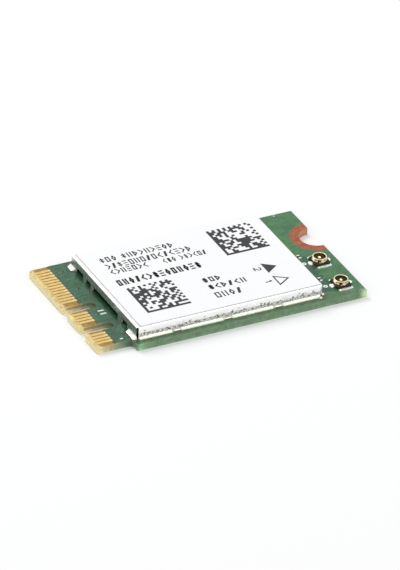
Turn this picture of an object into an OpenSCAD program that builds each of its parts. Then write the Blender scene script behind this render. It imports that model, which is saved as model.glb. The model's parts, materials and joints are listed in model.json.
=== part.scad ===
// M.2 wireless card, 16.5 mm wide and 30 mm long: a single-sided board with an
// A and E keyed edge tongue, a soldered shield can with a label, and two
// miniature coaxial antenna receptacles beside the screw notch.
// +X runs from the contact edge to the screw notch, +Z is up, and the origin is
// the middle of the underside.

/* [Board] */
// Length from the contact edge to the notch edge
board_l = 30; // [28.5:0.5:42]
// Width of the body of the board
board_w = 16.5; // [15:0.5:22]
// Thickness over the solder mask on both faces
board_t = 0.8; // [0.6:0.1:1.2]
// Solder mask, and the copper that lies flush with it
skin_t = 0.03; // [0.02:0.005:0.05]
// Outer corner radius
corner_r = 0.12; // [0.05:0.01:0.6]

/* [Edge tongue] */
// Length of the tongue up to its shoulder
tongue_l = 4; // [3.8:0.1:5]
// Inset of the tongue from the near edge of the body
tongue_inset = 1.075; // [0.8:0.025:1.2]
// Radius in the corner between tongue and shoulder
shoulder_r = 0.5; // [0.2:0.05:0.7]
// Length of the bevel on the leading edge
bevel_l = 0.28; // [0.15:0.01:0.4]
// Depth of the bevel on each face
bevel_t = 0.14; // [0.05:0.01:0.2]
// Width of a key slot
key_w = 1.2; // [1:0.05:1.3]
// Depth of a key slot
key_l = 3.5; // [3:0.1:3.7]
// Bare laminate between the contacts and the solder mask
mask_gap = 0.1; // [0.05:0.05:0.3]

/* [Contacts] */
// Pitch of the contacts on one face
contact_pitch = 0.5; // [0.45:0.01:0.52]
// Width of a contact
contact_w = 0.35; // [0.25:0.01:0.4]
// Length of a contact
contact_l = 1.72; // [1.4:0.02:2]
// First contact of the upper face, from the near edge of the body
contact_y = 1.75; // [1.7:0.01:1.85]
// Least distance from the last contact to the far edge
contact_margin = 0.7; // [0.6:0.05:0.8]

/* [Screw notch] */
// Radius of the plated half hole
notch_r = 1.75; // [1.5:0.05:2]
// Centre of the half hole from the near edge
notch_y = 11.1; // [10.9:0.1:12]
// Width of the ring pad around the half hole
notch_pad_w = 0.9; // [0.6:0.05:1.1]
// Thickness of the plating on the wall of the half hole
plating_t = 0.035; // [0.02:0.005:0.05]

/* [Shield can] */
// Contact edge of the board to the can
can_front = 4.3; // [4.2:0.1:5]
// Notch edge of the board to the can
can_back = 4.7; // [4.5:0.1:6]
// Near edge of the board to the can
can_near = 0.85; // [0.6:0.05:1.2]
// Far edge of the board to the can
can_far = 0.8; // [0.6:0.05:1.2]
// Height of the can
can_h = 1.32; // [1.25:0.01:1.5]
// Sheet thickness
can_t = 0.12; // [0.1:0.01:0.15]
// Outer bend radius along the top
bend_r = 0.16; // [0.15:0.01:0.25]
// Width that a corner notch of the can adds to the sheet thickness
slit_w = 0.04; // [0.02:0.01:0.2]
// Height of the low openings in the front wall
arch_h = 0.5; // [0.2:0.02:0.6]
// Height of the tall openings in the front wall
tall_arch_h = 0.56; // [0.3:0.01:0.7]
// Corner radius at the head of an opening
arch_r = 0.12; // [0.05:0.01:0.14]
// Width of the solder fillet at the foot of the can
fillet_w = 0.22; // [0.1:0.01:0.3]
// Height of the solder fillet
fillet_h = 0.2; // [0.1:0.01:0.3]
// How far the corner solder lands reach in front of the can
land_w = 0.34; // [0.3:0.02:0.4]
// Height of the solder on the corner lands
land_h = 0.26; // [0.1:0.01:0.4]

/* [Label] */
// Thickness of the label
label_t = 0.08; // [0.05:0.01:0.15]
// Inset of the label at the contact side
label_front_inset = 0.45; // [0.3:0.05:0.8]
// Inset of the label along its other sides
label_inset = 0.16; // [0.1:0.02:0.5]
// Corner radius of the label
label_r = 0.25; // [0.1:0.05:0.5]
// Thickness of the print
print_t = 0.01; // [0.01:0.005:0.03]
// Side of a square code block
code_size = 4.9; // [4:0.1:5.2]
// Cells along each side of a code block
code_cells = 12; // [8:2:14]
// Height of a printed line of marks
line_h = 0.85; // [0.5:0.05:0.95]
// Base of a printed triangle
triangle_w = 1.88; // [1.2:0.02:2]
// Height of a printed triangle
triangle_h = 1.37; // [1:0.01:1.6]
// Line of the open triangle
triangle_line = 0.16; // [0.1:0.01:0.25]

/* [Antenna receptacles] */
// Centre of a receptacle from the notch edge
jack_back = 1.92; // [1.8:0.02:2.2]
// Centre of the first receptacle from the near edge
jack_near = 2.1; // [1.9:0.05:2.6]
// Distance between the two receptacles
jack_pitch = 4.6; // [4:0.1:4.9]
// Outer radius of the ground ring
jack_r = 0.75; // [0.7:0.01:0.85]
// Wall of the ground ring
jack_wall = 0.12; // [0.08:0.01:0.18]
// Height of the receptacle above its pads
jack_h = 0.66; // [0.5:0.01:0.8]
// Height of the plastic base
jack_base_h = 0.25; // [0.2:0.01:0.3]
// Sheet thickness of the ground contact
jack_sheet_t = 0.07; // [0.05:0.01:0.1]
// Length of the plastic base along the board
jack_base_l = 1.66; // [1.6:0.02:1.8]
// Width of the plastic base
jack_base_w = 1.7; // [1.6:0.02:1.8]
// Length of a side foot of the ground contact
jack_foot_l = 1.6; // [1.2:0.05:1.65]
// Width of a foot beyond the base
jack_foot_w = 0.15; // [0.1:0.01:0.2]
// Width of the solder beyond a foot
jack_solder_w = 0.26; // [0.2:0.02:0.36]
// Height of the solder beyond a foot
jack_solder_h = 0.09; // [0.05:0.01:0.1]
// Radius of the centre pin
pin_r = 0.18; // [0.1:0.01:0.22]
// How far the pin stays below the rim
pin_drop = 0.07; // [0.05:0.01:0.2]

/* [Circuits] */
// Side of the wireless chip
chip_size = 9; // [7:0.5:9.5]
// Height of the wireless chip
chip_h = 0.85; // [0.6:0.05:0.95]
// Side of an amplifier
amp_size = 2.5; // [2:0.1:2.6]
// Height of an amplifier
amp_h = 0.6; // [0.4:0.05:0.9]
// Length of the crystal
crystal_l = 2.5; // [2:0.1:2.6]
// Width of the crystal
crystal_w = 2; // [1.6:0.1:2.2]
// Height of the crystal with its lid
crystal_h = 0.6; // [0.45:0.05:0.9]
// Length of the power coil
coil_l = 2; // [1.6:0.1:2.5]
// Width of the power coil
coil_w = 1.6; // [1.2:0.1:1.8]
// Height of the power coil
coil_h = 0.9; // [0.6:0.05:1.0]
// Length of the memory chip
memory_l = 3; // [2:0.1:3]
// Width of the memory chip
memory_w = 2; // [1.5:0.1:2.2]
// Height of the memory chip
memory_h = 0.55; // [0.4:0.05:0.9]
// Length of a band filter
filter_l = 1.6; // [1.2:0.1:1.8]
// Width of a band filter
filter_w = 0.8; // [0.6:0.05:0.9]
// Height of a band filter
filter_h = 0.5; // [0.4:0.05:0.7]
// Length of a capacitor
cap_l = 1; // [0.8:0.05:1.05]
// Width of a capacitor
cap_w = 0.5; // [0.4:0.02:0.55]
// Height of a capacitor
cap_h = 0.45; // [0.3:0.02:0.55]
// Length of a resistor
res_l = 0.6; // [0.5:0.02:0.7]
// Width of a resistor
res_w = 0.3; // [0.25:0.01:0.35]
// Height of a resistor
res_h = 0.25; // [0.2:0.01:0.35]
// Length of a matching part beside a receptacle
match_l = 0.62; // [0.5:0.02:0.9]
// Thickness of a solder pad on the board
pad_t = 0.03; // [0.02:0.005:0.05]
// Radius of a round test pad
test_r = 0.24; // [0.15:0.01:0.28]

/* [Hidden] */
$fn = 64;

// Overshoot of every cutting shape
over = 0.2;

// Faces of the board
top = board_t;
// Places of the key slots, in contact pitches from the first upper contact
key_a_at = 5.25;
key_e_at = 13.25;
// First contact of each group, in pitches from the first one of its face
top_first = [0, 8, 16];
bottom_first = [0, 7, 15];
// The lower contacts lie half a pitch further from the near edge
bottom_y = contact_y + contact_pitch / 2;
mask_x = bevel_l + contact_l + mask_gap;
function far_count(y0, first) =
    floor((board_w - contact_margin - y0 - first * contact_pitch) / contact_pitch + 0.001) + 1;
top_count = [4, 4, far_count(contact_y, top_first[2])];
bottom_count = [3, 4, far_count(bottom_y, bottom_first[2])];

notch_pad_r = notch_r + notch_pad_w;

// Outer faces of the can
can_x0 = can_front;
can_x1 = board_l - can_back;
can_y0 = can_near;
can_y1 = board_w - can_far;
can_l = can_x1 - can_x0;
can_w = can_y1 - can_y0;
can_top = top + can_h;
can_mid_x = (can_x0 + can_x1) / 2;
can_mid_y = (can_y0 + can_y1) / 2;
// Each wall ends this far from the corners, so that two walls never meet
wall_end = can_t + slit_w;

// Openings of the front wall. The near ones run from the near face, the far
// ones from the far face, and the long one lies between them.
near_arch = [2.15, 3.4];
long_arch = [4.25, 4.95];
small_arch = [4.5, 3.35];
far_arch = [2.8, 1.2];
// The same as start and end from the near face, and height
front_arches = [[near_arch[0], near_arch[1], tall_arch_h],
                [long_arch[0], can_w - long_arch[1], arch_h],
                [can_w - small_arch[0], can_w - small_arch[1], arch_h],
                [can_w - far_arch[0], can_w - far_arch[1], tall_arch_h]];
// Half width of the openings where the antenna lines leave the can
line_arch = 0.6;
// Openings of the far wall, from its two ends
far_arch_from = 3;
far_arch_w = 3.4;

label_x0 = can_x0 + label_front_inset;
label_x1 = can_x1 - label_inset;
label_y0 = can_y0 + label_inset;
label_y1 = can_y1 - label_inset;
label_l = label_x1 - label_x0;
label_w = label_y1 - label_y0;
label_top = can_top + label_t;

jack_x = board_l - jack_back;
jack_y = [jack_near, jack_near + jack_pitch];
jack_z = top + pad_t;
// Inner faces of the feet, at the sides and at the ends of the base
foot_y = jack_base_w / 2;
foot_x = jack_base_l / 2;
// Middle of the small parts on the lines from the can to the receptacles
line_off = 1.88;
line_x = jack_x - line_off;

// Sub-assemblies are drawn from the near corner of the contact edge
module from_corner() translate([-board_l / 2, -board_w / 2, 0]) children();

// A square corner minus its round, with the corner at the origin
module corner_2d(r) {
    difference() {
        translate([-over, -over]) square(r + over);
        translate([r, r]) circle(r);
    }
}

// Rectangle with four round corners
module round_rect(l, w, r) {
    translate([r, 0]) square([l - 2 * r, w]);
    translate([0, r]) square([l, w - 2 * r]);
    for (x = [r, l - r], y = [r, w - r]) translate([x, y]) circle(r);
}

// Slot from the contact edge with a full round end
module key_slot(y) {
    translate([-over, y - key_w / 2]) square([key_l - key_w / 2 + over, key_w]);
    translate([key_l - key_w / 2, y]) circle(key_w / 2);
}

module board_outline() {
    difference() {
        union() {
            translate([tongue_l, 0]) square([board_l - tongue_l, board_w]);
            translate([0, tongue_inset]) square([tongue_l + over, board_w - tongue_inset]);
            intersection() {
                translate([tongue_l, tongue_inset]) mirror([1, 0]) mirror([0, 1]) corner_2d(shoulder_r);
                translate([tongue_l - shoulder_r, tongue_inset - shoulder_r])
                    square(shoulder_r + over / 2);
            }
        }
        translate([tongue_l, 0]) corner_2d(corner_r);
        translate([board_l, 0]) mirror([1, 0]) corner_2d(corner_r);
        translate([board_l, board_w]) mirror([1, 0]) mirror([0, 1]) corner_2d(corner_r);
        translate([0, board_w]) mirror([0, 1]) corner_2d(corner_r);
        translate([0, tongue_inset]) corner_2d(corner_r);
        key_slot(contact_y + key_a_at * contact_pitch);
        key_slot(contact_y + key_e_at * contact_pitch);
    }
}

// Bevel wedge along the leading edge of one face
module bevel() {
    translate([0, board_w + over, 0]) rotate([90, 0, 0])
        linear_extrude(board_w + 2 * over)
            polygon([[-over, -over], [bevel_l, -over], [bevel_l, 0], [0, bevel_t], [-over, bevel_t]]);
}

// Test pads of the underside: a square grid behind the tongue, across the
// middle of the board
test_grid = [3, 4];
test_grid_pitch = 2.54;
test_grid_x = 9;
underside_pad_r = 0.5;
module underside_grid() {
    for (i = [0 : test_grid[0] - 1], j = [0 : test_grid[1] - 1])
        translate([test_grid_x + i * test_grid_pitch,
                   board_w / 2 + (j - (test_grid[1] - 1) / 2) * test_grid_pitch, 0])
            cylinder(r = underside_pad_r, h = skin_t);
}

module circuit_board() {
    color("forestgreen") from_corner() difference() {
        linear_extrude(board_t) board_outline();
        bevel();
        translate([0, 0, board_t]) mirror([0, 0, 1]) bevel();
        // the mask ends behind the contacts on both faces
        for (z = [-over, top - skin_t])
            translate([-over, -over, z]) cube([mask_x + over, board_w + 2 * over, skin_t + over]);
        // plated half hole and its ring pads
        translate([board_l, notch_y, -over]) cylinder(r = notch_r + plating_t, h = board_t + 2 * over);
        for (z = [-over, top - skin_t])
            translate([board_l, notch_y, z]) cylinder(r = notch_pad_r, h = skin_t + over);
        underside_grid();
    }
}

module notch_plating() {
    color("indianred") from_corner() difference() {
        union() {
            for (z = [0, top - skin_t])
                translate([board_l, notch_y, z]) cylinder(r = notch_pad_r, h = skin_t);
            translate([board_l, notch_y, 0]) cylinder(r = notch_r + plating_t, h = board_t);
        }
        translate([board_l, notch_y, -over]) cylinder(r = notch_r, h = board_t + 2 * over);
        translate([board_l, notch_y - notch_pad_r - over, -over])
            cube([notch_pad_r + over, 2 * (notch_pad_r + over), board_t + 2 * over]);
    }
}

// One group of contacts, flush with the mask of its face
module contacts(y0, first, count, z) {
    color("gold") from_corner()
        for (k = [0 : count - 1])
            translate([bevel_l, y0 + (first + k) * contact_pitch - contact_w / 2, z])
                cube([contact_l, contact_w, skin_t]);
}
module contacts_top(i) contacts(contact_y, top_first[i], top_count[i], top - skin_t);
module contacts_bottom(i) contacts(bottom_y, bottom_first[i], bottom_count[i], 0);

module underside_test_pads() {
    color("gold") from_corner() underside_grid();
}

// White ink on the board: a dash by the first contact, two strokes between the
// key slots and a dot at the far corner, each with its distances from the
// shoulder of the tongue or the notch edge and from the side edge
dash_l = 0.34;
dash_w = 0.18;
dash_at = [1.2, 0.43];
stroke_l = 0.66;
stroke_w = 0.2;
stroke_pitch = 0.58;
stroke_at = 0.97;
dot_r = 0.09;
dot_at = [2.13, 0.25];
// The strokes lie a little past the middle between the two key slots
stroke_past = 0.35;
strokes_y = contact_y + (key_a_at + key_e_at) / 2 * contact_pitch + stroke_past;
module board_marks() {
    color("white") from_corner() translate([0, 0, top]) {
        translate([tongue_l - dash_at[0], tongue_inset + dash_at[1], 0]) cube([dash_l, dash_w, print_t]);
        for (side = [-1, 1])
            translate([tongue_l - stroke_at, strokes_y + side * stroke_pitch / 2 - stroke_w / 2, 0])
                cube([stroke_l, stroke_w, print_t]);
        translate([board_l - dot_at[0], board_w - dot_at[1], 0]) cylinder(r = dot_r, h = print_t);
    }
}

// A test pad lies on the line to each receptacle
test_hole_r = 0.09;
test_at = [0.22, 0.17];
module test_pads() {
    color("silver") from_corner() for (y = jack_y) translate([line_x + test_at[0], y + test_at[1], top])
        difference() {
            cylinder(r = test_r, h = pad_t);
            translate([0, 0, -over]) cylinder(r = test_hole_r, h = pad_t + 2 * over);
        }
}

// Closed block with all its upper and upright edges rounded
module crown(l, w, h, r) {
    translate([r, 0, 0]) cube([l - 2 * r, w, h - r]);
    translate([0, r, 0]) cube([l, w - 2 * r, h - r]);
    translate([r, r, 0]) cube([l - 2 * r, w - 2 * r, h]);
    for (x = [r, l - r], y = [r, w - r]) {
        translate([x, y, 0]) cylinder(r = r, h = h - r);
        translate([x, y, h - r]) sphere(r);
    }
    for (y = [r, w - r]) translate([r, y, h - r]) rotate([0, 90, 0]) cylinder(r = r, h = l - 2 * r);
    for (x = [r, l - r]) translate([x, r, h - r]) rotate([-90, 0, 0]) cylinder(r = r, h = w - 2 * r);
}

// Opening at the foot of a wall that runs along Y, from y0 to y1
module arch(y0, y1, h) {
    rotate([90, 0, 90]) linear_extrude(can_t + 2 * over, center = true) {
        translate([y0, -over]) square([y1 - y0, h - arch_r + over]);
        translate([y0 + arch_r, 0]) square([y1 - y0 - 2 * arch_r, h]);
        for (y = [y0 + arch_r, y1 - arch_r]) translate([y, h - arch_r]) circle(arch_r);
    }
}

module shield_can() {
    color("lightgray") from_corner() translate([can_x0, can_y0, top]) difference() {
        crown(can_l, can_w, can_h, bend_r);
        translate([can_t, can_t, -over])
            crown(can_l - 2 * can_t, can_w - 2 * can_t, can_h - can_t + over, bend_r - can_t);
        for (x = [-over, can_l - wall_end], y = [-over, can_w - wall_end])
            translate([x, y, -over]) cube([wall_end + over, wall_end + over, can_h + 2 * over]);
        for (a = front_arches) arch(a[0], a[1], a[2]);
        for (y = jack_y) translate([can_l, y - can_y0, 0]) arch(-line_arch, line_arch, arch_h);
        for (x = [far_arch_from, can_l - far_arch_from - far_arch_w])
            translate([x, can_w, 0]) rotate([0, 0, -90]) arch(0, far_arch_w, arch_h);
    }
}

// Hollow fillet of solder along X, standing in front of a wall at y = 0
hollow = 0.36;
module solder_run(l, w = fillet_w, h = fillet_h) {
    rotate([90, 0, 90]) linear_extrude(l) polygon([[0, 0], [0, h], [-w * hollow, h * hollow], [-w, 0]]);
}
module back_run(y0, y1) translate([can_l, y0, 0]) rotate([0, 0, 90]) solder_run(y1 - y0);

// Land in front of the can with solder drawn up the wall, between two places
// along it, and the same land flat
module bank(y0, y1) translate([0, y1, 0]) rotate([0, 0, -90]) solder_run(y1 - y0, land_w, land_h);
module land(y0, y1) translate([-land_w, y0, 0]) cube([land_w, y1 - y0, pad_t]);

// How far the far land runs past the can, and how far a land stops short of
// the nearest opening
land_past = 0.2;
land_short = 0.25;
module shield_solder() {
    color("whitesmoke") from_corner() translate([can_x0, can_y0, top]) {
        translate([wall_end, 0, 0]) solder_run(can_l - 2 * wall_end);
        bank(wall_end, front_arches[0][0] - land_short);
        land(0, front_arches[0][0] - land_short);
        bank(front_arches[3][1] + land_short, can_w - wall_end);
        land(front_arches[3][1] + land_short, can_w + land_past);
        back_run(wall_end, jack_y[0] - can_y0 - line_arch);
        back_run(jack_y[0] - can_y0 + line_arch, jack_y[1] - can_y0 - line_arch);
        back_run(jack_y[1] - can_y0 + line_arch, can_w - wall_end);
        translate([0, can_w, 0]) mirror([0, 1, 0]) {
            translate([wall_end, 0, 0]) solder_run(far_arch_from - wall_end);
            translate([far_arch_from + far_arch_w, 0, 0])
                solder_run(can_l - 2 * (far_arch_from + far_arch_w));
            translate([can_l - far_arch_from, 0, 0]) solder_run(far_arch_from - wall_end);
        }
    }
}

module shield_label() {
    color("white") from_corner() translate([label_x0, label_y0, can_top])
        linear_extrude(label_t) round_rect(label_l, label_w, label_r);
}

// A cell is dark by a plain rule of its row and column, next to a solid L and a
// dashed edge on the other two sides. Cells that meet at a corner stay apart.
cell_gap = 0.02;
function dark(i, j) = (i * i + 3 * j + i * j) % 5 < 2;
module code_block() {
    cell = code_size / code_cells;
    inner = code_cells - 2;
    square([cell, code_size]);
    square([code_size, cell]);
    for (k = [2 : 2 : code_cells - 1]) {
        translate([k * cell, code_size - cell]) square(cell - cell_gap);
        translate([code_size - cell, k * cell]) square(cell - cell_gap);
    }
    for (i = [1 : inner], j = [1 : inner]) if (dark(i, j))
        translate([i * cell, j * cell]) square(cell + (dark(i + 1, j) ? cell_gap : -cell_gap));
}

// A line of short bars in place of words, in lengths that follow each other
bar_lengths = [0.9, 1.5, 1.1, 2.1, 0.7];
bar_gap = 0.22;
function bar_length(n) = bar_lengths[n % len(bar_lengths)];
function bar_start(n) = n == 0 ? 0 : bar_start(n - 1) + bar_length(n - 1) + bar_gap;
module bar_line(l) {
    for (n = [0 : ceil(l / min(bar_lengths))])
        if (bar_start(n) < l - bar_gap)
            translate([bar_start(n), 0]) square([min(bar_length(n), l - bar_start(n)), line_h]);
}

// Printed lines as start from the near front corner of the label, distance of
// their foot from its far edge, and length
far_lines = [[1.7, 2.54, 8.45], [1.8, 3.83, 9.65],
             [1.75, 4.92, 4.35], [7.6, 4.95, 5.05], [1.5, 7.0, 9.55]];
// Printed lines as start and foot from the near front corner, and length
near_lines = [[9.65, 4.75, 2.05], [9.65, 3.36, 4.4], [9.6, 1.8, 3.15]];
// Code blocks, from the near front corner and from the far back corner
near_code = [1.75, 1.84];
far_code = [1.39, 1.27];
// Middle of the foot of each triangle, from the back edge and the near edge
triangle_back = 3.94;
triangle_near = [4.78, 2.26];

// Triangle that points to +X, with the middle of its foot at the origin
module triangle(w, h) polygon([[0, -w / 2], [h, 0], [0, w / 2]]);
// Its open form keeps one line width along all three sides
module open_triangle(w, h, line) {
    slant = line * sqrt(h * h + w * w / 4) / (w / 2);
    inner_h = h - line - slant;
    difference() {
        triangle(w, h);
        translate([line, 0]) triangle(w * inner_h / h, inner_h);
    }
}

module label_print() {
    color("dimgray") from_corner() translate([label_x0, label_y0, label_top])
        linear_extrude(print_t) {
            translate(near_code) code_block();
            translate([label_l - far_code[0] - code_size, label_w - far_code[1] - code_size]) code_block();
            for (p = far_lines) translate([p[0], label_w - p[1]]) bar_line(p[2]);
            for (p = near_lines) translate([p[0], p[1]]) bar_line(p[2]);
            translate([label_l - triangle_back, triangle_near[0]]) triangle(triangle_w, triangle_h);
            translate([label_l - triangle_back, triangle_near[1]])
                open_triangle(triangle_w, triangle_h, triangle_line);
        }
}

// Places of the parts under the can: the first value runs from its front face,
// or from its back face where it is below zero, and the second from its middle
chip_front = 1.2;
chip_at = [chip_front + chip_size / 2, -0.4];
coil_front = 0.7;
coil_gap = 0.5;
coil_at = [coil_front + coil_l / 2, chip_at[1] + chip_size / 2 + coil_gap + coil_w / 2];
amp_at = [[-4.5, -4.6], [-4.5, 1.2]];
crystal_at = [-5.4, 4.9];
memory_at = [-2.3, 4.9];
filter_at = [[-1.9, -4.6], [-1.9, 1.2]];

module under_can(at)
    from_corner() translate([at[0] < 0 ? can_x1 + at[0] : can_x0 + at[0], can_mid_y + at[1], top]) children();

// Chip body on a thin bed of pads
module chip_body(l, w, h) translate([-l / 2, -w / 2, pad_t]) cube([l, w, h - pad_t]);

// A row of pads along each of the four sides and one under the middle
quad_pitch = 0.5;
quad_pad_w = 0.25;
quad_pad_l = 0.4;
module quad_pads(size) {
    n = floor((size - 2 * quad_pad_l - quad_pad_w) / quad_pitch);
    for (a = [0 : 90 : 270], k = [0 : n])
        rotate([0, 0, a]) translate([size / 2 - quad_pad_l, (k - n / 2) * quad_pitch - quad_pad_w / 2, 0])
            cube([quad_pad_l, quad_pad_w, pad_t]);
    core = size - 4 * quad_pad_l;
    translate([-core / 2, -core / 2, 0]) cube([core, core, pad_t]);
}

module wireless_chip() color("dimgray") under_can(chip_at) chip_body(chip_size, chip_size, chip_h);
module wireless_chip_pads() color("silver") under_can(chip_at) quad_pads(chip_size);
module amplifier(i) color("dimgray") under_can(amp_at[i]) chip_body(amp_size, amp_size, amp_h);
module amplifier_pads() color("silver") for (p = amp_at) under_can(p) quad_pads(amp_size);

module memory_chip() color("dimgray") under_can(memory_at) chip_body(memory_l, memory_w, memory_h);
memory_pitch = 0.6;
memory_leads = 4;
module memory_chip_leads() {
    color("silver") under_can(memory_at)
        for (k = [0 : memory_leads - 1], side = [-1, 1])
            translate([(k - (memory_leads - 1) / 2) * memory_pitch,
                       side * (memory_w - quad_pad_l) / 2, pad_t / 2])
                cube([quad_pad_w, quad_pad_l, pad_t], center = true);
}

crystal_lid_h = 0.15;
crystal_rim = 0.15;
crystal_pad = 0.6;
module crystal_base() {
    color("tan") under_can(crystal_at) chip_body(crystal_l, crystal_w, crystal_h - crystal_lid_h);
}
module crystal_lid() {
    color("silver") under_can(crystal_at)
        translate([-crystal_l / 2 + crystal_rim, -crystal_w / 2 + crystal_rim, crystal_h - crystal_lid_h])
            linear_extrude(crystal_lid_h)
                round_rect(crystal_l - 2 * crystal_rim, crystal_w - 2 * crystal_rim, crystal_rim);
}
module crystal_pads() {
    color("silver") under_can(crystal_at)
        for (x = [-1, 1], y = [-1, 1])
            translate([x * (crystal_l - crystal_pad) / 2, y * (crystal_w - crystal_pad) / 2, pad_t / 2])
                cube([crystal_pad, crystal_pad, pad_t], center = true);
}

// Two-ended part along X: its body fits between the end caps
module part_body(l, w, h, end) translate([-l / 2 + end, -w / 2, 0]) cube([l - 2 * end, w, h]);
module part_ends(l, w, h, end) {
    for (x = [-l / 2, l / 2 - end]) translate([x, -w / 2, 0]) cube([end, w, h]);
}

coil_end = 0.3;
module power_coil() color("gray") under_can(coil_at) part_body(coil_l, coil_w, coil_h, coil_end);
module power_coil_terminals() color("silver") under_can(coil_at) part_ends(coil_l, coil_w, coil_h, coil_end);

filter_end = 0.25;
module band_filters() {
    color("wheat") for (p = filter_at) under_can(p) part_body(filter_l, filter_w, filter_h, filter_end);
}
module band_filter_terminals() {
    color("silver") for (p = filter_at) under_can(p) part_ends(filter_l, filter_w, filter_h, filter_end);
}

// Capacitors stand in a row on each side of the chip, past the coil, and
// resistors stand behind it
cap_end = 0.25;
cap_pitch = 1.4;
cap_row = 5;
cap_gap = 0.9;
cap_past = 0.5;
module each_capacitor() {
    for (k = [0 : cap_row - 1], side = [-1, 1])
        under_can([coil_front + coil_l + cap_past + cap_l / 2 + k * cap_pitch,
                   chip_at[1] + side * (chip_size / 2 + cap_gap)]) children();
}
module capacitors() color("sienna") each_capacitor() part_body(cap_l, cap_w, cap_h, cap_end);
module capacitor_terminals() color("silver") each_capacitor() part_ends(cap_l, cap_w, cap_h, cap_end);

res_end = 0.15;
res_pitch = 0.8;
res_row = 8;
res_gap = 0.8;
module each_resistor() {
    for (k = [0 : res_row - 1])
        under_can([chip_at[0] + chip_size / 2 + res_gap,
                   chip_at[1] + (k - (res_row - 1) / 2) * res_pitch]) children();
}
module resistors() color("black") each_resistor() part_body(res_l, res_w, res_h, res_end);
module resistor_terminals() color("silver") each_resistor() part_ends(res_l, res_w, res_h, res_end);

// One matching part across the board beyond each antenna line
match_at = [0.2, 1.3];
module each_matching_part() {
    for (y = jack_y)
        from_corner() translate([line_x + match_at[0], y + match_at[1], top]) rotate([0, 0, 90]) children();
}
module matching_parts() color("dimgray") each_matching_part() part_body(match_l, res_w, res_h, res_end);
module matching_part_terminals() {
    color("silver") each_matching_part() part_ends(match_l, res_w, res_h, res_end);
}

// One antenna receptacle, from its centre on the pads
module at_jack(i) from_corner() translate([jack_x, jack_y[i], jack_z]) children();

// The tail of the centre pin runs under the base to its pad
tail_w = 0.4;
module pin_shape() {
    cylinder(r = pin_r, h = jack_h - pin_drop - pin_r);
    translate([0, 0, jack_h - pin_drop - pin_r]) sphere(pin_r);
    translate([-foot_x - jack_foot_w, -tail_w / 2, 0]) cube([foot_x + jack_foot_w, tail_w, jack_sheet_t]);
}

// The three feet of the ground contact, as turn, width of the leg and length of
// the foot: far side, near side and back
ring_in = jack_r - jack_wall;
side_neck = 0.7;
back_neck = 0.4;
feet = [[0, side_neck, jack_foot_l], [180, side_neck, jack_foot_l], [-90, back_neck, back_neck]];
function foot_at(n) = n == 2 ? foot_x : foot_y;

// A leg goes down inside the base below the ring, turns outward and ends in a
// foot beyond the base, whose side lies at the given distance
module leg_and_foot(neck, side, l) {
    translate([-neck / 2, ring_in, 0]) cube([neck, jack_sheet_t, jack_base_h]);
    translate([-neck / 2, ring_in, 0]) cube([neck, side - ring_in, jack_sheet_t]);
    translate([-l / 2, side, 0]) cube([l, jack_foot_w, jack_sheet_t]);
}
module legs_and_feet() {
    for (n = [0 : 2]) rotate([0, 0, feet[n][0]]) leg_and_foot(feet[n][1], foot_at(n), feet[n][2]);
}

base_corner_r = 0.15;
module base_block() {
    translate([-foot_x, -foot_y, 0])
        linear_extrude(jack_base_h) round_rect(jack_base_l, jack_base_w, base_corner_r);
}
module antenna_base(i) {
    color("black") at_jack(i) difference() {
        base_block();
        pin_shape();
        legs_and_feet();
    }
}

// Section of the ground ring, with the groove for the plug halfway up
groove = 0.035;
groove_w = 0.03;
module ring_section() {
    middle = (jack_base_h + jack_h) / 2;
    lip = jack_wall / 3;
    polygon([[ring_in, jack_base_h], [jack_r, jack_base_h],
             [jack_r, middle - groove - groove_w / 2], [jack_r - groove, middle - groove_w / 2],
             [jack_r - groove, middle + groove_w / 2], [jack_r, middle + groove + groove_w / 2],
             [jack_r, jack_h - lip], [jack_r - lip, jack_h],
             [ring_in + lip, jack_h], [ring_in, jack_h - lip]]);
}

module antenna_ground(i) {
    color("goldenrod") at_jack(i) {
        rotate_extrude() ring_section();
        legs_and_feet();
    }
}

module antenna_pin(i) color("gold") at_jack(i) pin_shape();

// Pad below a foot, with a bank of solder beyond it that slopes at its outer edge
bank_slope = 0.12;
module solder_pad(l) {
    translate([-l / 2, 0, 0]) cube([l, jack_foot_w + jack_solder_w, pad_t]);
    translate([-l / 2, jack_foot_w, pad_t]) rotate([90, 0, 90]) linear_extrude(l)
        polygon([[0, 0], [jack_solder_w, 0], [jack_solder_w - bank_slope, jack_solder_h],
                 [0, jack_solder_h]]);
}

// Round pad under the end of the tail, with a dome of solder over it
tail_pad_r = 0.27;
tail_solder_h = 0.15;
dome_r = (tail_pad_r * tail_pad_r + tail_solder_h * tail_solder_h) / (2 * tail_solder_h);
module tail_pad() {
    translate([-foot_x - jack_foot_w, 0, 0]) {
        translate([0, 0, -pad_t]) cylinder(r = tail_pad_r, h = pad_t);
        intersection() {
            translate([0, 0, tail_solder_h - dome_r]) sphere(dome_r);
            translate([-dome_r, -dome_r, 0]) cube(2 * dome_r);
        }
    }
}
module antenna_pads() {
    color("whitesmoke") for (i = [0, 1]) at_jack(i) {
        for (n = [0 : 2])
            rotate([0, 0, feet[n][0]]) translate([0, foot_at(n), -pad_t]) solder_pad(feet[n][2]);
        difference() {
            tail_pad();
            pin_shape();
            base_block();
        }
    }
}

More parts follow.
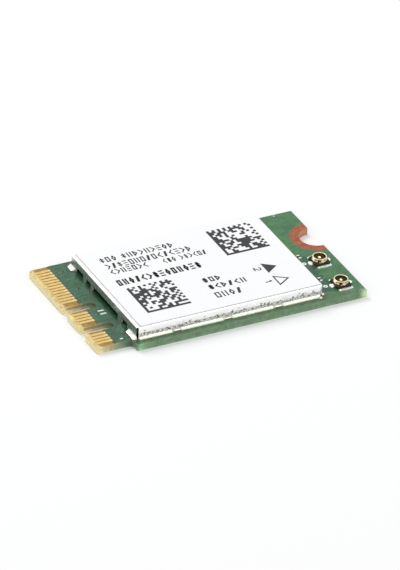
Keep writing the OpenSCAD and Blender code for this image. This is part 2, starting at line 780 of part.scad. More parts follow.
circuit_board();
notch_plating();
contacts_top(0);  // contacts_top_near
contacts_top(1);  // contacts_top_middle
contacts_top(2);  // contacts_top_far
contacts_bottom(0);  // contacts_bottom_near
contacts_bottom(1);  // contacts_bottom_middle
contacts_bottom(2);  // contacts_bottom_far
underside_test_pads();
board_marks();
test_pads();
shield_can();
shield_solder();
shield_label();
label_print();
wireless_chip();
wireless_chip_pads();
memory_chip();
memory_chip_leads();
amplifier(0);  // amplifier_near
amplifier(1);  // amplifier_far
amplifier_pads();
crystal_base();
crystal_lid();
crystal_pads();
power_coil();
power_coil_terminals();
band_filters();
band_filter_terminals();
capacitors();
capacitor_terminals();
resistors();
resistor_terminals();
matching_parts();
matching_part_terminals();
antenna_base(0);  // antenna_base_near
antenna_ground(0);  // antenna_ground_near
antenna_pin(0);  // antenna_pin_near
antenna_base(1);  // antenna_base_far
antenna_ground(1);  // antenna_ground_far
antenna_pin(1);  // antenna_pin_far
antenna_pads();
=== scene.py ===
import json
import math
import random

import bmesh
import bpy
from mathutils import Matrix, Vector, noise


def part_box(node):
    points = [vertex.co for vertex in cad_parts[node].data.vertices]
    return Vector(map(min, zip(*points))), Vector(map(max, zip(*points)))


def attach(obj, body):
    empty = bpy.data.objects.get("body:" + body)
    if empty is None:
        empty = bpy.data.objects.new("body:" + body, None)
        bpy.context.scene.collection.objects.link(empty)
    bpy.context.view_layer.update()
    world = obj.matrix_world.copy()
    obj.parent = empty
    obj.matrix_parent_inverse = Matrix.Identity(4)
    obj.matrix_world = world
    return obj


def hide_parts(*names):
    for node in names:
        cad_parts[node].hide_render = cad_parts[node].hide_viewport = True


# The frame: a wireless card that lies on its underside, +X from the contacts to the screw notch,
# +Y away from the camera, origin in the middle of the underside. In this file the front is the
# contact end, the back is the notch end, and near and far are the -Y and +Y sides. Lengths are
# in millimetres. Those of the lamps and the floor and the camera's clip range are in metres.
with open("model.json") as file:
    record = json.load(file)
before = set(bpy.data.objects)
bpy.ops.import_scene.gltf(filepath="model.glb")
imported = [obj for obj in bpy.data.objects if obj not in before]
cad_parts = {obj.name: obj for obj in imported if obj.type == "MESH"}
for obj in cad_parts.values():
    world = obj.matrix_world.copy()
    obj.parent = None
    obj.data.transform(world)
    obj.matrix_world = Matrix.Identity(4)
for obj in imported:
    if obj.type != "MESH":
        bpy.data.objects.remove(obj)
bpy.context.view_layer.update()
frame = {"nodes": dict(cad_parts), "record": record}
NODES = frame["nodes"]
MM = 0.001


def box_mm(node):
    """Lowest and highest corner of a node, in millimetres."""
    low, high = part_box(node)
    return low / MM, high / MM


BOARD_LOW, BOARD_HIGH = box_mm("circuit_board")
CAN_LOW, CAN_HIGH = box_mm("shield_can")
LABEL_LOW, LABEL_HIGH = box_mm("shield_label")
PLATING_LOW, PLATING_HIGH = box_mm("notch_plating")
CONTACT_LOW, CONTACT_HIGH = box_mm("contacts_top_near")
PRINT_LOW, PRINT_HIGH = box_mm("label_print")
BOARD_TOP = BOARD_HIGH.z
# Contact edge of the board, and shoulder of its tongue
FRONT = BOARD_LOW.x
TONGUE = 4.0
SHOULDER = FRONT + TONGUE
# The mask starts a little behind the contacts
MASK_EDGE = CONTACT_HIGH.x + 0.1
# Middle of the screw notch, and radius of the ring pad round it
NOTCH_Y = (PLATING_LOW.y + PLATING_HIGH.y) / 2
NOTCH_PAD_R = BOARD_HIGH.x - PLATING_LOW.x
# Side of the square that is cut out of each corner of the can
CORNER_CUT = 0.16
# Middles of the two antenna receptacles
JACK_NAMES = ("near", "far")
JACKS = [sum(box_mm("antenna_base_" + name), Vector()) / 2 for name in JACK_NAMES]


# Camera and light

# The camera was solved from the photograph's corners, contacts and holes, in a picture of
# 400 by 570 pixels whose long side is the sensor's width
PICTURE_LONG_SIDE = 570
FOCAL_PX = 6490.1
CAMERA_AZIMUTH = -29.158
CAMERA_ELEVATION = 32.324
CAMERA_ROLL = 3.503
CAMERA_DISTANCE = 656.2
CAMERA_TARGET = Vector((0, 0, 0.4))
CAMERA_OFF = (-0.204, 0.114)
CAMERA_CLIP = (0.05, 20)
SENSOR = 36.0

WHITE = (1, 1, 1)
WORLD_TINT = (0.98, 0.99, 1.0)
WORLD_FILL = 0.59
FLOOR_SIZE = 4
FLOOR_CARD = (0.86, 0.86, 0.86)
FLOOR_LIFT = 0.115
# Lamps as name, azimuth, elevation, distance, size and level
LAMPS = [("lamp_behind", 192, 50, 0.6, 0.30, 0.44),
         ("lamp_left", -75, 40, 0.6, 0.35, 0.08),
         ("lamp_front", 30, 40, 0.6, 0.30, 0.16)]


def towards(azimuth, elevation):
    """Direction from the middle, for angles in degrees. Azimuth 0 is -Y and 90 is +X."""
    a, e = math.radians(azimuth), math.radians(elevation)
    return Vector((math.sin(a) * math.cos(e), -math.cos(a) * math.cos(e), math.sin(e)))


def add_camera():
    azimuth, roll = math.radians(CAMERA_AZIMUTH), math.radians(CAMERA_ROLL)
    back = towards(CAMERA_AZIMUTH, CAMERA_ELEVATION)
    level = Vector((math.cos(azimuth), math.sin(azimuth), 0))
    upright = back.cross(level)
    right = level * math.cos(roll) + upright * math.sin(roll)
    up = upright * math.cos(roll) - level * math.sin(roll)
    place = CAMERA_TARGET + back * CAMERA_DISTANCE - right * CAMERA_OFF[0] - up * CAMERA_OFF[1]
    turn = Matrix((right, up, back)).transposed().to_4x4()
    data = bpy.data.cameras.new("camera")
    data.sensor_width = SENSOR
    data.lens = FOCAL_PX * SENSOR / PICTURE_LONG_SIDE
    data.clip_start, data.clip_end = CAMERA_CLIP
    camera = bpy.data.objects.new("camera", data)
    camera.matrix_world = Matrix.Translation(place * MM) @ turn
    bpy.context.scene.collection.objects.link(camera)
    bpy.context.scene.camera = camera


def add_lamp(name, azimuth, elevation, distance, size, level):
    """A soft square lamp aimed at the middle. Level is how bright it makes white card that faces it."""
    aim = towards(azimuth, elevation)
    data = bpy.data.lights.new(name, "AREA")
    data.size = size
    data.energy = level * math.pi ** 2 * distance ** 2
    lamp = bpy.data.objects.new(name, data)
    lamp.location = aim * distance
    lamp.rotation_mode = "QUATERNION"
    lamp.rotation_quaternion = aim.to_track_quat("Z", "Y")
    bpy.context.scene.collection.objects.link(lamp)


def plug(tree, socket, value):
    """Link another node's output to a socket, or set the socket's own value."""
    if isinstance(value, bpy.types.NodeSocket):
        tree.links.new(value, socket)
    elif isinstance(value, (tuple, list)) and socket.type == "RGBA":
        socket.default_value = (*value, 1)
    else:
        socket.default_value = value


def new_node(tree, kind, inputs=(), **settings):
    """A node with inputs given by number or name."""
    made = tree.nodes.new(kind)
    for key, value in settings.items():
        setattr(made, key, value)
    for key, value in dict(inputs).items():
        plug(tree, made.inputs[key], value)
    return made


def seen_white(tree):
    """1 for camera, glossy and transmission rays, else 0."""
    path = new_node(tree, "ShaderNodeLightPath").outputs
    total = path["Is Camera Ray"]
    for name in ("Is Glossy Ray", "Is Transmission Ray"):
        total = new_node(tree, "ShaderNodeMath", {0: total, 1: path[name]}, operation="MAXIMUM").outputs[0]
    return total


def add_world():
    """White to the camera and in reflections, and a dimmer fill for everything else."""
    world = bpy.data.worlds.new("studio")
    bpy.context.scene.world = world
    world.use_nodes = True
    tree = world.node_tree
    tree.nodes.clear()
    fill, white = (new_node(tree, "ShaderNodeBackground", {"Color": colour, "Strength": strength}).outputs[0]
                   for colour, strength in ((WORLD_TINT, WORLD_FILL), (WHITE, 1.0)))
    both = new_node(tree, "ShaderNodeMixShader", {0: seen_white(tree), 1: fill, 2: white})
    new_node(tree, "ShaderNodeOutputWorld", {"Surface": both.outputs[0]})


def add_floor():
    """A white floor whose lit part is lifted to the backdrop's white, and which keeps the shadow."""
    bpy.ops.mesh.primitive_plane_add(size=FLOOR_SIZE, location=(0, 0, 0))
    floor = bpy.context.object
    floor.name = "floor"
    material = bpy.data.materials.new("floor_white")
    material.use_nodes = True
    tree = material.node_tree
    tree.nodes.clear()
    card = new_node(tree, "ShaderNodeBsdfDiffuse", {"Color": FLOOR_CARD})
    level = new_node(tree, "ShaderNodeMath", {0: seen_white(tree), 1: FLOOR_LIFT}, operation="MULTIPLY")
    lift = new_node(tree, "ShaderNodeEmission", {"Color": WHITE, "Strength": level.outputs[0]})
    both = new_node(tree, "ShaderNodeAddShader", {0: card.outputs[0], 1: lift.outputs[0]})
    new_node(tree, "ShaderNodeOutputMaterial", {"Surface": both.outputs[0]})
    floor.data.materials.append(material)


bpy.context.scene.view_settings.view_transform = "Standard"
add_camera()
add_world()
add_floor()
for lamp_row in LAMPS:
    add_lamp(*lamp_row)


# Materials


class Shade:
    """One procedural material. Its places are in millimetres of the part's frame."""

    def __init__(self, name, specular=0.5):
        self.material = bpy.data.materials.new(name)
        self.material.use_nodes = True
        self.tree = self.material.node_tree
        self.bsdf = self.tree.nodes["Principled BSDF"]
        self.set(Specular_IOR_Level=specular)
        self.place = self.scaled(self.node("ShaderNodeTexCoord").outputs["Object"], 1 / MM)
        self.x, self.y, self.z = self.node("ShaderNodeSeparateXYZ", {0: self.place}).outputs
        normal = self.node("ShaderNodeNewGeometry").outputs["True Normal"]
        self.nx, self.ny, self.nz = self.node("ShaderNodeSeparateXYZ", {0: normal}).outputs

    def node(self, kind, inputs=(), **settings):
        return new_node(self.tree, kind, inputs, **settings)

    def set(self, **inputs):
        for key, value in inputs.items():
            plug(self.tree, self.bsdf.inputs[key.replace("_", " ")], value)

    def calc(self, operation, total, *others):
        """Sum, product or the like of values, or a function of a single one."""
        for other in others or (0.0,):
            total = self.node("ShaderNodeMath", {0: total, 1: other}, operation=operation).outputs[0]
        return total

    def add(self, *values):
        return self.calc("ADD", *values)

    def sub(self, a, b):
        return self.calc("SUBTRACT", a, b)

    def times(self, *values):
        return self.calc("MULTIPLY", *values)

    def most(self, *values):
        return self.calc("MAXIMUM", *values)

    def blended(self, *pairs):
        """Sum of values, each times its weight."""
        return self.add(*(self.times(value, weight) for value, weight in pairs))

    def share(self, value, low, high):
        """Even rise from 0 to 1 while value goes from low to high."""
        return self.calc("DIVIDE", self.sub(value, low), high - low)

    def step(self, value, low, high, start=0.0, end=1.0):
        """Smooth change from start to end while value goes from low to high."""
        inputs = enumerate((value, low, high, start, end))
        return self.node("ShaderNodeMapRange", inputs, interpolation_type="SMOOTHSTEP").outputs[0]

    def fall(self, value, low, high):
        """Smooth change from 1 to 0 while value goes from low to high."""
        return self.step(value, low, high, 1.0, 0.0)

    def within(self, value, low, high, soft=0.05):
        """1 between low and high."""
        return self.times(self.step(value, low - soft, low + soft),
                          self.fall(value, high - soft, high + soft))

    def wave(self, value, pitch):
        """Sine from 0 to 1 along a value."""
        return self.add(self.times(self.calc("SINE", self.times(value, 2 * math.pi / pitch)), 0.5), 0.5)

    def ring(self, centre_x, centre_y):
        """Distance from an upright axis."""
        dx = self.sub(self.x, centre_x)
        dy = self.sub(self.y, centre_y)
        return self.calc("SQRT", self.add(self.times(dx, dx), self.times(dy, dy)))

    def mapped(self, place, shift, scale):
        """A place moved and scaled, for a texture."""
        location = (shift, shift * 0.7, shift * 0.3)
        inputs = {"Vector": place, "Location": location, "Scale": scale}
        return self.node("ShaderNodeMapping", inputs).outputs[0]

    def noise(self, size, detail=3.0, rough=0.55, stretch=(1, 1, 1), shift=0.0, distort=0.0):
        """Noise with features of about the given size."""
        place = self.mapped(self.place, shift, tuple(1 / (size * s) for s in stretch))
        inputs = {"Vector": place, "Scale": 1.0, "Detail": detail, "Roughness": rough, "Distortion": distort}
        return self.node("ShaderNodeTexNoise", inputs).outputs["Fac"]

    def specks(self, size, share, radius=0.28, wobble=0.25, shift=0.0, wall=False):
        """1 inside round specks, in a share of the cells of a level face or of a wall along X.

        The radius and the wobble of the outlines are shares of a cell's size.
        """
        level = self.node("ShaderNodeCombineXYZ", {0: self.x, 1: self.z if wall else self.y})
        place = self.mapped(level.outputs[0], shift, (1 / size,) * 3)
        warp = self.node("ShaderNodeTexNoise", {"Vector": place, "Scale": 1.7}).outputs["Color"]
        warped = self.node("ShaderNodeVectorMath", {0: warp, 1: (wobble * 2,) * 3, 2: place},
                           operation="MULTIPLY_ADD")
        cells = self.node("ShaderNodeTexVoronoi", {"Vector": warped.outputs[0], "Scale": 1.0},
                          voronoi_dimensions="2D").outputs
        pick = self.node("ShaderNodeSeparateColor", {0: cells["Color"]}).outputs
        chosen = self.step(self.sub(share, pick[0]), -0.01, 0.01)
        own_radius = self.add(self.times(pick[1], radius * 0.6), radius * 0.7)
        inside = self.step(self.sub(own_radius, cells["Distance"]), -0.05, 0.05)
        return self.times(chosen, inside)

    def mix(self, factor, a, b):
        """Colour between a and b."""
        return self.node("ShaderNodeMix", {0: factor, 6: a, 7: b}, data_type="RGBA").outputs[2]

    def scaled(self, vector, value):
        """A place or a colour times a number."""
        return self.node("ShaderNodeVectorMath", {0: vector, "Scale": value}, operation="SCALE").outputs[0]

    def ramp(self, factor, *stops):
        """Colours at places from 0 to 1."""
        made = self.node("ShaderNodeValToRGB", {0: factor})
        elements = made.color_ramp.elements
        while len(elements) < len(stops):
            elements.new(0.5)
        for element, (place, colour) in zip(elements, stops):
            element.position = place
            element.color = (*colour, 1)
        return made.outputs[0]

    def bump(self, height, depth):
        """Relief of the given depth in millimetres, for a height from 0 to 1."""
        inputs = {"Strength": 1.0, "Distance": depth * MM, "Height": height}
        self.set(Normal=self.node("ShaderNodeBump", inputs).outputs[0])


def mask_colour(s):
    """Green mask over copper, teal over bare laminate, and painted shade and light round the can."""
    hue = s.noise(0.7, 2.0, 0.5, shift=9.0)
    pour = s.mix(hue, (0.036, 0.165, 0.052), (0.060, 0.172, 0.074))
    bare = s.mix(hue, (0.022, 0.088, 0.044), (0.036, 0.104, 0.068))
    margin_light = s.mix(hue, (0.074, 0.165, 0.070), (0.092, 0.184, 0.094))
    # bare laminate lies under the mask of the tongue and beside the receptacles
    tongue = s.fall(s.x, SHOULDER - 0.2, SHOULDER + 0.8)
    lines = s.times(s.within(s.x, CAN_HIGH.x - 1.0, JACKS[0].x - 0.88, 0.06),
                    s.within(s.y, JACKS[0].y - 0.7, JACKS[1].y + 1.5, 0.06))
    mask = s.mix(s.most(s.times(tongue, 0.8), lines), pour, bare)
    # the margin in front of the near wall is painted lighter, as light that lifts the can's shade on it
    margin = s.times(s.fall(s.y, CAN_LOW.y - 0.1, CAN_LOW.y + 0.4),
                     s.step(s.x, SHOULDER - 0.1, SHOULDER + 0.1))
    mask = s.mix(margin, mask, margin_light)
    # the mask is painted dark as shade at the foot of the front wall, and darker still as shade inside the
    # can
    front_wall_shade = s.times(s.step(s.x, CAN_LOW.x - 0.75, CAN_LOW.x - 0.15),
                    s.step(s.x, CAN_LOW.x, CAN_LOW.x + 0.2, 0.55, 0.0))
    inside = s.times(s.within(s.x, CAN_LOW.x + 0.06, CAN_LOW.x + 1.6),
                     s.within(s.y, CAN_LOW.y + 0.06, CAN_HIGH.y - 0.06), 0.92)
    mask = s.mix(s.most(front_wall_shade, inside), mask, (0.012, 0.030, 0.018))
    # copper shows brown through thin mask round the ring pad
    halo = s.fall(s.ring(BOARD_HIGH.x, NOTCH_Y), NOTCH_PAD_R - 0.02, NOTCH_PAD_R + 0.24)
    return s.mix(halo, mask, (0.21, 0.125, 0.060))


def lower_mask_colour(s, mask):
    """Mask of the lower face, with rows of lines and vias."""
    rows = s.times(s.step(s.wave(s.y, 0.62), 0.72, 0.80), s.step(s.noise(2.6, 1.0, shift=3.0), 0.50, 0.53))
    vias = s.specks(1.3, 0.45, 0.13, 0.02, shift=5.0)
    lined = s.mix(s.times(rows, 0.5), mask, (0.075, 0.235, 0.090))
    return s.mix(vias, lined, (0.10, 0.26, 0.13))


def laminate_colour(s, grain):
    """Bare laminate: pale at the contact edge, amber round the contacts, dark green behind them."""
    amber = s.mix(grain, (0.29, 0.155, 0.025), (0.41, 0.245, 0.047))
    laminate = s.mix(s.step(s.x, FRONT + 0.25, FRONT + 0.55), (0.72, 0.58, 0.24), amber)
    return s.mix(s.step(s.x, CONTACT_HIGH.x - 0.22, CONTACT_HIGH.x), laminate, (0.070, 0.085, 0.020))


def edge_colour(s, glow, fibre):
    """Cut edges: pale yellow at the contacts, olive behind them, then green."""
    # the bright green just behind the shoulder is a painted glow at the body's front corners
    edge = s.ramp(s.share(s.x, FRONT, FRONT + 8),
                  (0.00, (0.89, 0.78, 0.42)), (0.05, (0.89, 0.77, 0.41)),
                  (0.11, (0.72, 0.60, 0.31)), (0.20, (0.50, 0.46, 0.26)),
                  (0.29, (0.32, 0.35, 0.23)), (0.40, (0.15, 0.23, 0.155)),
                  (0.48, (0.10, 0.13, 0.08)), (0.53, (0.34, 0.58, 0.33)),
                  (0.60, (0.23, 0.37, 0.22)), (0.74, (0.18, 0.29, 0.17)))
    # walls of the key slots are browner than the outer edge, with painted shade darkest halfway up and
    # painted light above and below it
    slot = s.times(s.step(s.x, FRONT + 0.3, FRONT + 0.6),
                   s.fall(s.x, SHOULDER - 0.4, SHOULDER - 0.3),
                   s.step(s.y, CONTACT_LOW.y, CONTACT_LOW.y + 0.2))
    brown = s.ramp(s.share(s.x, FRONT, SHOULDER),
                   (0.0, (0.80, 0.64, 0.32)), (0.25, (0.66, 0.50, 0.26)), (0.45, (0.50, 0.42, 0.24)),
                   (0.65, (0.34, 0.33, 0.20)), (0.85, (0.20, 0.24, 0.145)))
    edge = s.mix(s.times(slot, 0.7), edge, brown)
    halfway = s.step(s.calc("ABSOLUTE", s.sub(s.z, BOARD_TOP * 0.62)), 0.05, 0.35)
    edge = s.scaled(edge, s.add(1.0, s.times(slot, s.sub(s.times(halfway, 0.75), 0.35))))
    # the outer edge is painted paler at its foot, as light bounced from the floor
    foot = s.times(s.fall(s.z, 0.10, 0.35), s.sub(1.0, slot))
    edge = s.scaled(edge, s.add(1.0, s.times(foot, 0.25)))
    # the painted glow of the near back corner spreads onto the edges
    edge = s.mix(glow, edge, (0.66, 0.84, 0.48))
    # the fibre shows less on the contact edge
    contrast = s.step(s.nx, -0.8, -0.4, 0.15, 0.40)
    return s.scaled(edge, s.add(1.0, s.times(s.step(fibre, 0.35, 0.65, -0.5, 0.5), contrast)))


def board_material():
    """Green mask on both faces, bare laminate round the contacts, and fibrous cut edges."""
    s = Shade("board_solder_mask", 0.35)
    grain = s.noise(0.16, 3.0, 0.65)
    patch = s.noise(0.40, 2.0, 0.6, shift=2.0)
    cloud = s.noise(1.3, 3.0, 0.65)
    mottle = s.step(s.blended((grain, 0.35), (patch, 0.35), (cloud, 0.30)), 0.38, 0.62, 0.70, 1.30)
    weave = s.noise(0.24, 3.0, 0.7, stretch=(0.8, 0.8, 3.0))
    fleck = s.noise(0.5, 3.0, 0.6, shift=3.0)
    fibre = s.blended((weave, 0.40), (fleck, 0.50), (s.wave(s.z, 0.2), 0.10))

    under = s.fall(s.nz, -0.8, -0.5)
    bare_zone = s.fall(s.x, MASK_EDGE - 0.02, MASK_EDGE + 0.02)
    mask = mask_colour(s)
    mask = s.mix(under, mask, lower_mask_colour(s, mask))
    face = s.scaled(s.mix(bare_zone, mask, laminate_colour(s, grain)), mottle)
    # the near back corner is painted paler, as a glow of light through the board
    glow = s.times(s.step(s.x, BOARD_HIGH.x - 1.0, BOARD_HIGH.x - 0.1),
                   s.fall(s.y, BOARD_LOW.y + 0.1, BOARD_LOW.y + 0.7))
    face = s.mix(s.times(glow, 0.75), face, (0.42, 0.60, 0.34))

    flat = s.step(s.calc("ABSOLUTE", s.nz), 0.5, 0.8)
    s.set(Base_Color=s.mix(flat, edge_colour(s, glow, fibre), face),
          Roughness=s.add(s.step(flat, 0.0, 1.0, 0.62, 0.28), s.times(bare_zone, 0.2)))
    s.bump(s.add(s.times(s.noise(0.35, 2.0), 0.5), s.times(fibre, s.sub(1.0, flat))), 0.008)
    return s.material


def contact_material():
    """Gold with brushed length marks, and a pale highlight painted towards the inner ends."""
    s = Shade("contact_gold")
    brushed = s.noise(0.12, 3.0, 0.6, stretch=(8, 1, 1))
    cloud = s.noise(0.8, 2.0, 0.5)
    gold = s.mix(s.blended((brushed, 0.6), (cloud, 0.4)), (0.64, 0.44, 0.15), (0.84, 0.64, 0.27))
    # a painted highlight, pale towards the inner ends of the contacts
    inner_end_highlight = s.times(s.step(s.x, CONTACT_HIGH.x - 0.30, CONTACT_HIGH.x - 0.05),
                   s.fall(s.x, CONTACT_HIGH.x, CONTACT_HIGH.x + 1.0), 0.7)
    s.set(Base_Color=s.mix(inner_end_highlight, gold, (0.84, 0.72, 0.42)),
          Metallic=1.0,
          Roughness=s.step(cloud, 0.3, 0.7, 0.22, 0.36))
    s.bump(brushed, 0.003)
    return s.material


def lid_colour(s, cloud, fine):
    """Lid of the can: spotted, with painted shade along its near bend and in front of the label."""
    lid = s.mix(s.step(fine, 0.30, 0.50), (0.86, 0.86, 0.85), (0.98, 0.98, 0.975))
    lid = s.mix(s.times(s.specks(0.45, 0.25, 0.22, shift=3.0), 0.35), lid, (0.5, 0.5, 0.5))
    # painted shade along the near bend, by the label's near edge
    bend = s.fall(s.y, CAN_LOW.y + 0.15, CAN_LOW.y + 0.19)
    lid = s.mix(bend, lid, s.mix(fine, (0.68, 0.68, 0.675), (0.80, 0.80, 0.79)))
    # painted shade on the strip in front of the label
    beside = s.within(s.x, LABEL_LOW.x - 0.11, LABEL_LOW.x + 0.1, 0.03)
    return s.mix(beside, lid, s.mix(cloud, (0.64, 0.60, 0.64), (0.84, 0.82, 0.84)))


def near_wall_colour(s, up, cloud, fine):
    """Near wall of the can, with flux that thins out upwards."""
    colour = s.ramp(s.share(up, 0.0, 1.2),
                    (0.17, (0.90, 0.88, 0.83)), (0.33, (0.97, 0.96, 0.93)),
                    (0.50, (0.99, 0.99, 0.98)), (0.84, (0.99, 0.99, 0.985)))
    # a brown smear lies just above the solder
    smear = s.times(s.within(s.add(up, s.times(cloud, 0.16)), 0.22, 0.42),
                    s.step(s.noise(0.7, 3.0, 0.7, shift=6.0), 0.46, 0.56), 0.22)
    colour = s.mix(smear, colour, (0.34, 0.27, 0.20))
    # burnt flux lies in a chain above it, and in loose squiggles further up
    worm = s.noise(0.20, 2.0, 0.6, stretch=(1.2, 1, 0.8), shift=7.0, distort=0.6)
    chain = s.times(s.within(up, 0.28, 0.58, 0.08), s.step(worm, 0.53, 0.575))
    share = s.times(s.within(up, 0.36, 0.92, 0.10), 0.80)
    loose = s.times(s.specks(0.46, share, 0.28, 0.5, wall=True),
                    s.step(s.noise(0.16, 2.0, 0.6, shift=5.0), 0.44, 0.50))
    burnt = s.mix(fine, (0.045, 0.032, 0.020), (0.19, 0.145, 0.10))
    return s.mix(s.times(s.most(chain, loose), 0.92), colour, burnt)


def can_material():
    """Tin-plated sheet: bright, painted darker on the front wall as shade, and stained on the near wall."""
    s = Shade("can_tinned_steel")
    cloud = s.noise(0.9, 4.0, 0.6)
    fine = s.noise(0.11, 3.0, 0.65)
    up = s.sub(s.z, BOARD_TOP)
    near = s.fall(s.ny, -0.9, -0.6)
    bright = s.mix(s.step(fine, 0.20, 0.80), (0.76, 0.76, 0.75), (0.90, 0.90, 0.89))
    # the front wall is painted darker, as shade
    shaded_front_wall = s.mix(s.step(fine, 0.35, 0.65), (0.45, 0.45, 0.44), (0.74, 0.74, 0.72))
    walls = s.mix(s.fall(s.nx, -0.9, -0.6), bright, shaded_front_wall)
    colour = s.mix(s.step(s.nz, 0.4, 0.8), walls, lid_colour(s, cloud, fine))
    colour = s.mix(near, colour, near_wall_colour(s, up, cloud, fine))
    # the gap at the near front corner is painted dark, as the shade inside the can
    corner_gap_shade = s.times(s.fall(s.x, CAN_LOW.x + CORNER_CUT + 0.005, CAN_LOW.x + CORNER_CUT + 0.015),
                  s.fall(s.y, CAN_LOW.y + CORNER_CUT + 0.005, CAN_LOW.y + CORNER_CUT + 0.015))
    colour = s.mix(corner_gap_shade, colour, (0.012, 0.009, 0.007))
    # the near wall's end by the receptacles is shaded
    shade = s.times(near, s.step(s.x, CAN_HIGH.x - 0.42, CAN_HIGH.x - 0.16), s.step(up, 0.9, 1.2, 0.5, 0.15))
    colour = s.mix(shade, colour, (0.20, 0.17, 0.14))
    # the stained foot of the near wall is hardly metallic, and its clean top is smooth
    stained = s.times(near, s.step(up, 0.46, 0.72, 0.92, 0.0))
    rough = s.step(cloud, 0.3, 0.7, 0.20, 0.32)
    s.set(Base_Color=colour,
          Metallic=s.sub(1.0, s.most(corner_gap_shade, stained)),
          Roughness=s.sub(rough, s.times(near, s.step(up, 0.6, 1.0, 0.10, 0.0))))
    s.bump(s.blended((fine, 0.7), (cloud, 0.3)), 0.007)
    return s.material


def solder_material():
    """Bright solder with a few spots of flux, creamy along the near wall."""
    s = Shade("tin_solder")
    cloud = s.noise(0.5, 3.0, 0.6)
    fine = s.noise(0.12, 3.0, 0.6)
    bright = s.mix(cloud, (0.82, 0.86, 0.78), (0.92, 0.95, 0.88))
    creamy = s.mix(cloud, (0.56, 0.60, 0.46), (0.74, 0.78, 0.62))
    near_wall = s.times(s.fall(s.y, CAN_LOW.y - 0.02, CAN_LOW.y + 0.02),
                        s.within(s.x, CAN_LOW.x + 0.1, CAN_HIGH.x - 0.1))
    # the two lands in front of the can are duller
    skin = s.scaled(s.mix(near_wall, bright, creamy), s.step(s.x, CAN_LOW.x - 0.08, CAN_LOW.x, 0.86, 1.0))
    spots = s.times(s.specks(0.8, 0.22, 0.16, 0.4, shift=4.0), 0.6)
    s.set(Base_Color=s.mix(spots, skin, (0.36, 0.29, 0.20)),
          Metallic=0.85,
          Roughness=s.step(fine, 0.3, 0.7, 0.24, 0.40))
    s.bump(fine, 0.004)
    return s.material


def label_material():
    """White coated film with a faint grain, and its cut edges painted grey as the line of shade along them.
    """
    s = Shade("label_film", 0.3)
    fibre = s.noise(0.12, 3.0, 0.6)
    face = s.mix(fibre, (0.925, 0.925, 0.93), (0.95, 0.95, 0.955))
    # the cut edges are painted grey, as a line of shade
    edge = s.mix(s.step(s.noise(0.35, 3.0, 0.6), 0.35, 0.65), (0.74, 0.70, 0.72), (0.86, 0.83, 0.845))
    s.set(Base_Color=s.mix(s.step(s.nz, 0.5, 0.9), edge, face), Roughness=0.5)
    s.bump(s.blended((fibre, 0.3), (s.noise(2.5, 1.0), 0.7)), 0.004)
    return s.material


def plating_material():
    """Reddish plated copper, browner towards the mask and pale on the wall of the half hole."""
    s = Shade("plated_copper", 0.15)
    cloud = s.noise(0.6, 3.0, 0.55)
    grain = s.noise(0.10, 3.0, 0.6)
    face = s.mix(s.step(cloud, 0.35, 0.65), (0.33, 0.078, 0.040), (0.42, 0.145, 0.072))
    far_out = s.step(s.ring(BOARD_HIGH.x, NOTCH_Y), NOTCH_PAD_R - 0.35, NOTCH_PAD_R)
    face = s.mix(far_out, face, (0.27, 0.125, 0.060))
    wall = s.mix(grain, (0.50, 0.21, 0.13), (0.68, 0.36, 0.25))
    wall = s.mix(s.step(s.x, BOARD_HIGH.x - 0.5, BOARD_HIGH.x), wall, (0.42, 0.30, 0.17))
    s.set(Base_Color=s.mix(s.step(s.nz, 0.4, 0.8), wall, face), Metallic=0.0, Roughness=0.5)
    s.bump(grain, 0.006)
    return s.material


def ring_material():
    """Pale gold plating, with painted brown shade on the neck below the rolled lip."""
    s = Shade("ring_gold")
    cloud = s.noise(0.3, 4.0, 0.6)
    down = s.sub(box_mm("antenna_ground_near")[1].z, s.z)
    # painted shade on the neck under the lip
    neck_shade = s.times(s.within(down, 0.10, 0.25, 0.03), s.step(cloud, 0.35, 0.55, 0.45, 0.85))
    gold = s.mix(cloud, (0.68, 0.60, 0.38), (0.90, 0.84, 0.64))
    s.set(Base_Color=s.mix(neck_shade, gold, (0.30, 0.21, 0.085)),
          Metallic=1.0,
          Roughness=s.step(cloud, 0.3, 0.7, 0.14, 0.26))
    s.bump(s.noise(0.1, 3.0, 0.6, shift=4.0), 0.003)
    return s.material


def pin_material():
    """Pale gold with cloudy colour and fine relief, for the centre pins of the receptacles."""
    s = Shade("pin_gold")
    cloud = s.noise(0.2, 4.0, 0.6)
    s.set(Base_Color=s.mix(cloud, (0.90, 0.82, 0.60), (0.98, 0.93, 0.76)),
          Metallic=1.0,
          Roughness=s.step(cloud, 0.3, 0.7, 0.2, 0.3))
    s.bump(s.noise(0.07, 3.0, 0.6, shift=4.0), 0.003)
    return s.material


def base_material():
    """Dark moulding, painted olive inside the gold rings as light reflected from them."""
    s = Shade("receptacle_plastic", 0.1)
    grain = s.noise(0.10, 3.0, 0.6)
    # painted reflection of the gold rings on the floor inside them
    inside = s.most(*(s.fall(s.ring(jack.x, jack.y), 0.60, 0.64) for jack in JACKS))
    s.set(Base_Color=s.mix(s.times(inside, s.step(s.nz, 0.5, 0.9)),
                           s.mix(grain, (0.022, 0.018, 0.011), (0.050, 0.042, 0.028)),
                           s.mix(grain, (0.034, 0.024, 0.005), (0.080, 0.056, 0.012))),
          Roughness=0.45)
    s.bump(grain, 0.005)
    return s.material


def plain_material(name, dark, light, roughness, size=0.3, depth=0.004, specular=0.5):
    """Plastic, ceramic or ink with fine grain."""
    s = Shade(name, specular)
    s.set(Base_Color=s.mix(s.noise(size, 4.0, 0.6), dark, light), Roughness=roughness)
    s.bump(s.noise(size * 0.4, 3.0, 0.6, shift=2.0), depth)
    return s.material


